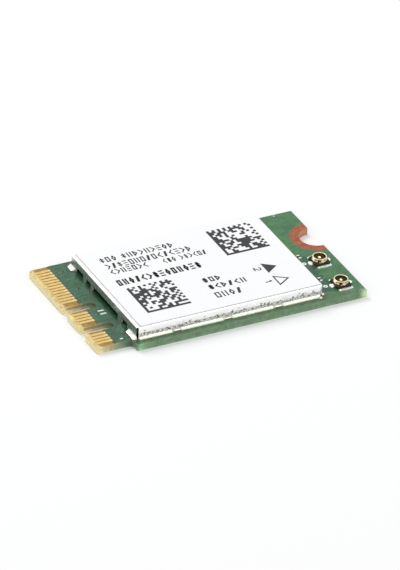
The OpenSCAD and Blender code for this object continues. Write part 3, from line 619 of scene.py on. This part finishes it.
# Plain materials as name, dark and light colour, roughness, then size of the grain, depth of
# the relief and specular level where they aren't the usual ones
PLAIN = [
    ("white_ink", (0.74, 0.78, 0.72), (0.90, 0.93, 0.88), 0.6, 0.1),
    ("label_ink", (0.030, 0.030, 0.033), (0.058, 0.058, 0.062), 0.6, 0.08, 0.002, 0.2),
    ("chip_mould", (0.018, 0.018, 0.020), (0.035, 0.035, 0.038), 0.55, 0.12),
    ("crystal_ceramic", (0.30, 0.26, 0.18), (0.42, 0.37, 0.28), 0.6),
    ("ferrite", (0.07, 0.07, 0.075), (0.13, 0.13, 0.14), 0.7, 0.1, 0.01),
    ("part_ceramic", (0.030, 0.027, 0.024), (0.075, 0.066, 0.056), 0.4, 0.1),
    ("filter_ceramic", (0.55, 0.52, 0.43), (0.70, 0.67, 0.58), 0.55),
    ("resistor_film", (0.012, 0.012, 0.014), (0.03, 0.03, 0.033), 0.3),
    ("burnt_flux", (0.045, 0.028, 0.016), (0.17, 0.105, 0.06), 0.25, 0.15),
    ("mask_over_traces", (0.056, 0.165, 0.090), (0.088, 0.218, 0.124), 0.28, 0.3, 0.002, 0.35),
]
# Materials by the record's slot. Three are no slots: pin_gold, burnt_flux and mask_over_traces.
MATERIALS = {
    "solder_mask": board_material(),
    "pad_copper": plating_material(),
    "contact_gold": contact_material(),
    "tin_solder": solder_material(),
    "can_tin": can_material(),
    "label_paper": label_material(),
    "base_plastic": base_material(),
    "ring_gold": ring_material(),
    "pin_gold": pin_material(),
}
for row in PLAIN:
    MATERIALS[row[0]] = plain_material(*row)

for part in frame["record"]["subparts"]:
    node = NODES[part["node"]]
    node.data.materials.clear()
    node.data.materials.append(MATERIALS[part["material_slot"]])
for name in JACK_NAMES:
    NODES["antenna_pin_" + name].data.materials[0] = MATERIALS["pin_gold"]


# Pieces

SHARP_ANGLE = 42
# A mound's sides bulge by this much between its corners, and its lumps have this wave number
MOUND_BULGE = 0.35
MOUND_WAVE = 4


class Solid:
    """Closed shapes in millimetres, gathered for one mesh."""

    def __init__(self):
        self.points = []
        self.faces = []

    def add(self, points, faces):
        first = len(self.points)
        self.points += points
        self.faces += [[first + k for k in face] for face in faces]

    def loft(self, rings, closed=False):
        """Skin over rings of equal length, with flat caps or joined end to end."""
        count, around = len(rings), len(rings[0])
        steps = count if closed else count - 1
        faces = [(i * around + j, i * around + (j + 1) % around,
                  (i + 1) % count * around + (j + 1) % around, (i + 1) % count * around + j)
                 for i in range(steps) for j in range(around)]
        if not closed:
            faces += [tuple(range(around)), tuple(range((count - 1) * around, count * around))]
        self.add([tuple(p) for ring in rings for p in ring], faces)

    def prism(self, outline, low, high):
        self.loft([[(x, y, z) for x, y in outline] for z in (low, high)])

    def lathe(self, centre, profile, steps, start=0.0, end=360.0):
        """Closed profile of (radius, height) turned about an upright axis."""
        whole = end - start >= 360
        turns = [math.radians(start + (end - start) * k / steps)
                 for k in range(steps if whole else steps + 1)]
        self.loft([[(centre.x + r * math.cos(a), centre.y + r * math.sin(a), z) for r, z in profile]
                   for a in turns], closed=whole)

    def mound(self, low, high, seed, steps=10, fullness=3.0, lumps=0.12):
        """A drop of solder or flux over a round-cornered footprint."""
        middle, half = (low + high) / 2, (high - low) / 2
        points = []
        for i in range(steps + 1):
            for j in range(steps + 1):
                u, v = 2 * i / steps - 1, 2 * j / steps - 1
                rim = max(abs(u), abs(v))
                x = middle.x + half.x * u * math.sqrt(1 - MOUND_BULGE * v * v)
                y = middle.y + half.y * v * math.sqrt(1 - MOUND_BULGE * u * u)
                lump = 1 - lumps * (1 + noise.noise(Vector((x * MOUND_WAVE, y * MOUND_WAVE, seed))))
                points.append((x, y, low.z + (high.z - low.z) * lump * (1 - rim ** fullness) ** 0.5))
        wide = steps + 1
        faces = [(i * wide + j, (i + 1) * wide + j, (i + 1) * wide + j + 1, i * wide + j + 1)
                 for i in range(steps) for j in range(steps)]
        rim = [i * wide for i in range(wide)] + [steps * wide + j for j in range(1, wide)]
        rim += [i * wide + steps for i in range(steps - 1, -1, -1)] + list(range(steps - 1, 0, -1))
        faces.append(tuple(rim))
        self.add(points, faces)

    def build(self, name, slot, replaced=(), smooth=True, material=None):
        """Make the piece. It takes the slot's material unless another is named."""
        mesh = bpy.data.meshes.new(name)
        mesh.from_pydata([Vector(p) * MM for p in self.points], [], self.faces)
        work = bmesh.new()
        work.from_mesh(mesh)
        bmesh.ops.recalc_face_normals(work, faces=work.faces)
        work.to_mesh(mesh)
        work.free()
        if smooth:
            mesh.shade_smooth()
            mesh.set_sharp_from_angle(angle=math.radians(SHARP_ANGLE))
        mesh.materials.append(MATERIALS[material or slot])
        piece = bpy.data.objects.new(name, mesh)
        bpy.context.scene.collection.objects.link(piece)
        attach(piece, "root")
        if replaced:
            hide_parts(*replaced)


def solids(node):
    """Lowest and highest corner of each separate solid of a node, in millimetres."""
    mesh = NODES[node].data
    keys = [tuple(round(c / MM, 3) for c in vertex.co) for vertex in mesh.vertices]
    parent = {key: key for key in keys}

    def root(key):
        while parent[key] != key:
            parent[key] = parent[parent[key]]
            key = parent[key]
        return key

    for polygon in mesh.polygons:
        first = root(keys[polygon.vertices[0]])
        for index in polygon.vertices[1:]:
            parent[root(keys[index])] = first
    groups = {}
    for key in parent:
        groups.setdefault(root(key), []).append(key)
    boxes = [(Vector(map(min, zip(*group))), Vector(map(max, zip(*group)))) for group in groups.values()]
    return sorted(boxes, key=lambda box: tuple(box[0]))


# Print on the label. Every line is a row of plain marks, none of them a letter. Places are
# from the near front corner of the label.

LABEL_CORNER = LABEL_LOW.xy

# Marks as strokes, each from one place to another in a field one wide and one high
MARKS = [
    [(0, 0, 0, 1), (1, 0, 1, 1)],
    [(0, 0, 1, 0), (0, 0.5, 1, 0.5), (0, 1, 1, 1)],
    [(1, 0, 0, 0.5), (0, 0.5, 1, 1)],
    [(0, 0, 1, 0.5), (1, 0.5, 0, 1)],
    [(0, 0, 1, 0), (1, 0, 1, 1), (1, 1, 0, 1), (0, 1, 0, 0)],
    [(0.3, 0, 0.3, 1), (0.75, 0, 0.75, 1), (0, 0.3, 1, 0.3), (0, 0.7, 1, 0.7)],
    [(0.5, 0, 1, 0.5), (1, 0.5, 0.5, 1), (0.5, 1, 0, 0.5), (0, 0.5, 0.5, 0)],
    [(0, 0, 0.6, 1), (0.4, 0, 1, 1)],
    [(0, 0, 0, 1), (0, 1, 1, 0.5), (1, 0.5, 0, 0)],
    [(0, 0.3, 1, 0.3), (0, 0.7, 1, 0.7), (0.5, 0, 0.5, 1)],
]
# Lines of marks as start, foot, end and height, weight of the stroke, and marks in each word
LINES = [(1.70, 12.02, 10.10, 0.88, 0.14, (3, 9)),
         (1.80, 10.72, 11.50, 0.92, 0.14, (15,)),
         (1.75, 9.66, 6.05, 0.86, 0.14, (7,)),
         (7.60, 9.55, 12.60, 0.82, 0.12, (3, 6)),
         (1.50, 7.52, 11.05, 1.06, 0.20, (14,)),
         (9.65, 4.72, 11.80, 0.84, 0.16, (3,)),
         (9.65, 3.36, 14.00, 0.86, 0.16, (6,)),
         (9.60, 1.74, 12.75, 0.98, 0.15, (4,))]
LINES_SEED = 5
# Space between two words, and width of a mark, as shares of the pitch of the marks
WORD_SPACE = 0.7
MARK_SHARE = 0.70


def stroke(start, end, weight):
    """Outline of a straight stroke."""
    start, end = Vector(start), Vector(end)
    side = (end - start).orthogonal().normalized() * weight / 2
    return [tuple(p) for p in (start + side, start - side, end - side, end + side)]


def print_lines(put):
    """Rows of random marks, where no mark follows itself."""
    draw = random.Random(LINES_SEED)
    for x, foot, end, height, weight, words in LINES:
        pitch = (end - x) / (sum(words) + WORD_SPACE * (len(words) - 1))
        wide = pitch * MARK_SHARE - weight
        high = height - weight
        last = None
        for count in words:
            for _ in range(count):
                kind = draw.choice([k for k in range(len(MARKS)) if k != last])
                for u0, v0, u1, v1 in MARKS[kind]:
                    a = Vector((x + wide * u0, foot + high * v0))
                    b = Vector((x + wide * u1, foot + high * v1))
                    reach = (b - a).normalized() * weight / 2
                    put(stroke(a - reach, b + reach, weight))
                x += pitch
                last = kind
            x += WORD_SPACE * pitch


# Two blocks of random cells. The far one is placed from the far back corner of the label.
CODE_SIZE = 4.9
CODE_CELLS = 16
CODE_FILL = 0.52
CELL_OVERLAP = 0.001
NEAR_CODE, NEAR_CODE_SEED = Vector((1.75, 1.84)), 3
FAR_CODE, FAR_CODE_SEED = Vector((1.39, 1.27)), 4


def print_code(put, corner, seed):
    """Block of random cells with a solid edge on two sides and a dashed one on the others."""
    draw = random.Random(seed)
    last = CODE_CELLS - 1
    cell = CODE_SIZE / CODE_CELLS
    for j in range(CODE_CELLS):
        row = []
        for i in range(CODE_CELLS):
            dark = draw.random() < CODE_FILL
            if i == 0 or j == 0:
                dark = True
            elif i == last:
                dark = j % 2 == 0
            elif j == last:
                dark = i % 2 == 0
            row.append(dark)
        # neighbouring dark cells of a row are one bar
        start, top = None, j + 1 + CELL_OVERLAP
        for i, dark in enumerate(row + [False]):
            if dark and start is None:
                start = i
            if not dark and start is not None:
                put(corner + Vector(p) * cell for p in ((start, j), (i, j), (i, top), (start, top)))
                start = None


# Triangles: distance of their feet from the label's back edge, middles across the label,
# height and width of one, what the open one's tip adds, and its line
TRIANGLE_FOOT = 3.94
TRIANGLES = (4.78, 2.26)
TRIANGLE_H, TRIANGLE_W = 1.37, 1.88
OPEN_TIP = 0.14
TRIANGLE_LINE = 0.15
# Numerals as lines of points, and their place from the middle of a triangle's foot
NUMERALS = {"1": [(0.12, 0.55), (0.32, 0.75), (0.32, 0.0)],
            "2": [(0.05, 0.60), (0.20, 0.75), (0.45, 0.75), (0.55, 0.60), (0.50, 0.42), (0.0, 0.05),
                  (0.58, 0.05)]}
NUMERAL_AT = Vector((-1.15, 0.42))
NUMERAL_WEIGHT = 0.12


def print_triangles(put):
    """A filled and an open triangle that point at the receptacles, numbered 2 and 1."""
    foot = LABEL_HIGH.x - LABEL_LOW.x - TRIANGLE_FOOT
    half = TRIANGLE_W / 2
    for y, digit in zip(TRIANGLES, "21"):
        corners = [Vector((foot, y - half)), Vector((foot + TRIANGLE_H, y)), Vector((foot, y + half))]
        if digit == "2":
            put(corners)
        else:
            corners[1].x += OPEN_TIP
            middle = sum(corners, Vector((0, 0))) / 3
            inset = 1 - TRIANGLE_LINE / (corners[0] - middle).length * 2
            inner = [middle + (c - middle) * inset for c in corners]
            for k in range(3):
                put([corners[k], corners[(k + 1) % 3], inner[(k + 1) % 3], inner[k]])
        points = NUMERALS[digit]
        place = Vector((foot, y)) + NUMERAL_AT
        for a, b in zip(points, points[1:]):
            put(place + Vector((v, -u)) for u, v in stroke(a, b, NUMERAL_WEIGHT))


def add_print():
    made = Solid()

    def put(outline):
        made.prism([tuple(LABEL_CORNER + Vector(p)) for p in outline], PRINT_LOW.z, PRINT_HIGH.z)

    print_lines(put)
    print_code(put, NEAR_CODE, NEAR_CODE_SEED)
    far_corner = LABEL_HIGH.xy - LABEL_CORNER - FAR_CODE
    print_code(put, far_corner - Vector((CODE_SIZE, CODE_SIZE)), FAR_CODE_SEED)
    print_triangles(put)
    made.build("label_marks", "label_ink", ["label_print"], smooth=False)


# Solder and flux

# Sections of a fillet: pitch along the wall, and strips across
FILLET_PITCH = 0.08
FILLET_STRIPS = 6
# An end has this share of the full size, and gains the full size once over this length
END_SHARE = 0.25
END_RAMP = 0.15
# Wave numbers of the lumps in width and height
WIDTH_WAVE = 2.1
HEIGHT_WAVE = 3.3
# Along the near wall the solder has waists, each behind a line of flux: share of the full
# size, length of their ends, half their length, place of the first from the can's front, pitch
WAIST = 0.45
WAIST_RAMP = 0.12
WAIST_HALF = 0.40
WAIST_FIRST = 4.45
WAIST_PITCH = 5.75
WAISTS = [WAIST_FIRST + k * WAIST_PITCH for k in range(3)]


def fillet(made, start, end, out, width, height, seed, hollow=1.7, lumps=1.0, waists=()):
    """Solder along the foot of a wall from start to end, drawn up the wall unevenly.

    It is narrow round each waist, given as a distance from the start.
    """
    along = end - start
    count = max(8, int(along.length / FILLET_PITCH))
    rings = []
    for i in range(count + 1):
        share = i / count
        run = share * along.length
        taper = min(1.0, END_SHARE + min(run, along.length - run) / END_RAMP)
        for waist in waists:
            away = (abs(run - waist) - WAIST_HALF) / WAIST_RAMP
            taper = min(taper, WAIST + (1 - WAIST) * min(1.0, max(0.0, away)))
        wide_lump = 0.10 + 0.30 * noise.noise(Vector((run * WIDTH_WAVE, seed, 0.0)))
        high_lump = 0.50 * noise.noise(Vector((run * HEIGHT_WAVE, seed, 5.0)))
        wide = width * taper * (1 + lumps * wide_lump)
        high = height * taper * (1 + lumps * high_lump)
        foot = start + along * share
        ring = [foot]
        for k in range(FILLET_STRIPS + 1):
            t = k / FILLET_STRIPS
            ring.append(foot + out * (wide * t) + Vector((0, 0, high * (1 - t) ** hollow)))
        rings.append(ring)
    made.loft(rings)


# A run of solder belongs to a wall of the can when it ends this close to the wall's face
AT_WALL = 0.05
# Solder in the gap at the near back corner: side, distance from the walls' faces, and height
SEAM_W = 0.15
SEAM_IN = 0.01
SEAM_H = 0.45

# Corners of the can
NEAR_FRONT = CAN_LOW.xy
NEAR_BACK = Vector((CAN_HIGH.x, CAN_LOW.y))
FAR_FRONT = Vector((CAN_LOW.x, CAN_HIGH.y))
# Drops of solder and mounds of flux as the corner of the can, their place from it, length,
# width and height, and seed
SOLDER_DROPS = [(NEAR_BACK, 0.12, 0.14, 0.30, 0.26, 0.20, 4),
                (NEAR_BACK, -0.34, -0.28, 0.40, 0.30, 0.14, 9)]
FLUX_MOUNDS = [(NEAR_BACK, -0.14, 0.03, 0.24, 0.22, 0.20, 5),
               (NEAR_BACK, 0.04, -0.12, 0.56, 0.18, 0.07, 6),
               (NEAR_FRONT, 0.13, -0.04, 0.34, 0.30, 0.07, 7),
               (NEAR_FRONT, -0.40, -0.25, 0.36, 0.24, 0.03, 9),
               (FAR_FRONT, -0.08, 0.30, 0.40, 0.30, 0.06, 8)]
# Flux in front of the waists: place from the waist, length, width and height
WAIST_FLUX = (0.05, -0.13, 0.95, 0.10, 0.03)


def mound_at(made, corner, x, y, long, wide, high, seed):
    """A mound on the board, with its middle at x and y from a corner."""
    half = Vector((long / 2, wide / 2, 0))
    foot = Vector((corner.x + x, corner.y + y, BOARD_TOP))
    made.mound(foot - half, foot + half + Vector((0, 0, high)), seed)


def add_can_solder():
    """Fillets where the CAD has its runs, and full lands in front of the can."""
    made = Solid()
    for seed, (low, high) in enumerate(solids("shield_solder")):
        size = high - low
        near_back = Vector((high.x, low.y, low.z))
        far_front = Vector((low.x, high.y, low.z))
        far_back = Vector((high.x, high.y, low.z))
        if high.x < CAN_LOW.x + AT_WALL:
            fillet(made, near_back, far_back, Vector((-1, 0, 0)), size.x, size.z, seed, 1.25, 0.2)
        elif low.x > CAN_HIGH.x - AT_WALL:
            fillet(made, low, far_front, Vector((1, 0, 0)), size.x, size.z, seed)
        elif high.y < CAN_LOW.y + AT_WALL:
            waists = [CAN_LOW.x + at - low.x for at in WAISTS]
            fillet(made, far_front, far_back, Vector((0, -1, 0)), size.y, size.z, seed, 1.4, 0.5, waists)
        else:
            fillet(made, low, near_back, Vector((0, 1, 0)), size.y, size.z, seed)
    # solder fills the gap at the near back corner and stands in drops beside it
    made.mound(Vector((CAN_HIGH.x - SEAM_W, CAN_LOW.y - SEAM_IN, BOARD_TOP)),
               Vector((CAN_HIGH.x - SEAM_IN, CAN_LOW.y + SEAM_W, BOARD_TOP + SEAM_H)),
               3, fullness=9.0, lumps=0.02)
    for drop in SOLDER_DROPS:
        mound_at(made, *drop)
    made.build("can_solder_fillets", "tin_solder", ["shield_solder"])


def add_flux():
    """Brown flux in front of the waists, and at three corners of the can."""
    made = Solid()
    for k, at in enumerate(WAISTS):
        mound_at(made, NEAR_FRONT + Vector((at, 0)), *WAIST_FLUX, k)
    for mound in FLUX_MOUNDS:
        mound_at(made, *mound)
    made.build("burnt_flux", "tin_solder", material="burnt_flux")


# Pads longer than this carry the side feet of a receptacle. The near one has an even strip
# of solder, whose two ends are shifted towards the notch. Smaller pads have a drop with a lip.
STRIP_MIN = 1.0
STRIP_SHIFT = (0.06, 0.12)
DROP_LIP = 0.03


def add_receptacle_solder():
    """Strips of solder over the near feet, and drops over the other feet and the tails."""
    made = Solid()
    for seed, (low, high) in enumerate(solids("antenna_pads")):
        jack = min(JACKS, key=lambda centre: abs(centre.y - (low.y + high.y) / 2))
        if high.x - low.x > STRIP_MIN and low.y < jack.y:
            front, back = (Vector((shift, 0, 0)) for shift in STRIP_SHIFT)
            made.mound(low + front, high + back, seed, steps=20, fullness=14.0, lumps=0.04)
        elif high.x - low.x > STRIP_MIN:
            made.mound(low, high, seed, steps=14, lumps=0.5)
        else:
            lip = Vector((DROP_LIP, DROP_LIP, 0))
            made.mound(low - lip, high + lip + Vector((0, 0, DROP_LIP)), seed, steps=14)
    made.build("receptacle_solder", "tin_solder", ["antenna_pads"])


# Receptacles

RING_R = 0.75
RING_WALL = 0.12
RING_INNER = RING_R - RING_WALL
RING_STEPS = 72
NECK_R = 0.70
# Roundings of the lip: outside, inside, and angle at which the outside one meets the neck
LIP = 0.035
INNER_LIP = LIP * 0.8
LIP_FROM = -60
# Band round the foot of the ring. It is open towards the near front corner of the card.
BAND_H = 0.14
BAND_R = RING_R + 0.03
BAND_INNER = NECK_R - 0.01
BAND_STEPS = 64
BAND_GAP_AT = 241
BAND_GAP = 26
# Sheet of the ground contact, and widths of its legs and feet
SHEET_T = 0.07
LEG_W = {"side": 0.70, "back": 0.40}
FOOT_W = {"side": 1.60, "back": 0.40}
ARC_STEPS = 5


def arc(centre_r, centre_z, radius, start, end):
    """Points of a round in a profile, between two angles in degrees."""
    turns = [math.radians(start + (end - start) * k / ARC_STEPS) for k in range(ARC_STEPS + 1)]
    return [(centre_r + radius * math.cos(a), centre_z + radius * math.sin(a)) for a in turns]


def ring_profile(base, top):
    """Section of the ring, with a rolled lip over a narrower neck."""
    return ([(RING_INNER, base), (NECK_R, base), (NECK_R, top - 3 * LIP)]
            + arc(RING_R - LIP, top - LIP, LIP, LIP_FROM, 90)
            + arc(RING_INNER + INNER_LIP, top - INNER_LIP, INNER_LIP, 90, 180))


def band_profile(base):
    """Section of the band round the foot of the ring."""
    return ([(BAND_INNER, base), (BAND_R, base)] + arc(BAND_R - LIP, base + BAND_H - LIP, LIP, 0, 90)
            + [(BAND_INNER, base + BAND_H)])


def add_rings():
    """Ground contact of each receptacle: ring, band, legs inside the base and feet beyond it."""
    for name, jack in zip(JACK_NAMES, JACKS):
        base = box_mm("antenna_base_" + name)[1]
        low, high = box_mm("antenna_ground_" + name)
        made = Solid()
        made.lathe(jack, ring_profile(base.z, high.z), RING_STEPS)
        made.lathe(jack, band_profile(base.z), BAND_STEPS,
                   BAND_GAP_AT + BAND_GAP / 2, BAND_GAP_AT - BAND_GAP / 2 + 360)
        # far side, near side and back, as the turn, the base's face and the end of the foot
        for turn, kind, face, end in ((90, "side", base.y - jack.y, high.y - jack.y),
                                      (270, "side", base.y - jack.y, high.y - jack.y),
                                      (0, "back", base.x - jack.x, high.x - jack.x)):
            turned = Matrix.Rotation(math.radians(turn), 2)
            leg, foot = LEG_W[kind] / 2, FOOT_W[kind] / 2
            bend = RING_INNER + SHEET_T
            for a, b, half, thick in ((RING_INNER, bend, leg, base.z - low.z),
                                      (bend, face, leg, SHEET_T), (face, end, foot, SHEET_T)):
                outline = [turned @ Vector(p) + jack.xy
                           for p in ((a, -half), (b, -half), (b, half), (a, half))]
                made.prism([tuple(p) for p in outline], low.z, low.z + thick)
        made.build("receptacle_ground_" + name, "ring_gold", ["antenna_ground_" + name])


# Lines and vias under the mask of the upper face

TRACE_W = 0.10
TRACE_H = 0.008
VIA_R = 0.13
VIA_SIDES = 12
# Bundle of aslant lines beside the near land: start of its second line from the near front
# corner of the board, length, pitch, and reach inside the can
BUNDLE_AT = Vector((3.14, 2.83))
BUNDLE_LINES = 4
BUNDLE_RUN = 1.15
BUNDLE_PITCH = 0.22
BUNDLE_END = 0.3
# Fan behind the contacts: first straight run, aside step, last run, and space left in
# front of the can
FAN_START = 0.03
FAN_RUNS = (0.15, 0.30, 0.45)
FAN_STEP = 0.2
FAN_ENDS = (0.2, 1.0)
FAN_SPACE = 0.3
FAN_SEED = 2
# Three vias in a row between the receptacles
ROW_AT = Vector((-1.08, 0.15))
ROW_PITCH = 0.83
ROW_VIA_R = 0.17


def ribbon(points, width):
    """Outline of a strip of even width along a line of points."""
    points = [Vector(p) for p in points]
    left, right = [], []
    for k, point in enumerate(points):
        ways = [(b - a).normalized() for a, b in zip(points[max(k - 1, 0):k + 1], points[max(k, 1):k + 2])]
        along = sum(ways, Vector((0, 0))).normalized()
        side = Vector((-along.y, along.x)) * width / 2 / along.dot(ways[0])
        left.append(point + side)
        right.append(point - side)
    return [tuple(p) for p in left + right[::-1]]


def disc(x, y, radius):
    """Outline of a round."""
    turns = [2 * math.pi * k / VIA_SIDES for k in range(VIA_SIDES)]
    return [(x + radius * math.cos(a), y + radius * math.sin(a)) for a in turns]


def add_traces():
    made = Solid()

    def raise_up(outline):
        made.prism(outline, BOARD_TOP, BOARD_TOP + TRACE_H)

    # a bundle runs aslant into the opening beside the near land
    for k in range(BUNDLE_LINES):
        start = BOARD_LOW.xy + BUNDLE_AT + Vector((1, -1)) * (k - 1) * BUNDLE_PITCH / math.sqrt(2)
        turn = start + Vector((1, 1)) * BUNDLE_RUN / math.sqrt(2)
        raise_up(ribbon([start, turn, Vector((CAN_LOW.x + BUNDLE_END, turn.y))], TRACE_W))
    # the lines of the contacts fan out behind them and end in vias
    draw = random.Random(FAN_SEED)
    for group in ("middle", "far"):
        for low, high in solids("contacts_top_" + group):
            y = (low.y + high.y) / 2
            x = MASK_EDGE + FAN_START
            reach = x + draw.choice(FAN_RUNS)
            y_end = y + draw.choice((-FAN_STEP, FAN_STEP))
            end = min(reach + FAN_STEP + draw.uniform(*FAN_ENDS), CAN_LOW.x - FAN_SPACE)
            raise_up(ribbon([(x, y), (reach, y), (reach + FAN_STEP, y_end), (end, y_end)], TRACE_W))
            raise_up(disc(end, y_end, VIA_R))
    middle = (JACKS[0].y + JACKS[1].y) / 2
    for k in (-1, 0, 1):
        raise_up(disc(JACKS[0].x + ROW_AT.x, middle + ROW_AT.y + k * ROW_PITCH, ROW_VIA_R))
    made.build("traces", "solder_mask", smooth=False, material="mask_over_traces")


add_print()
add_can_solder()
add_flux()
add_receptacle_solder()
add_rings()
add_traces()
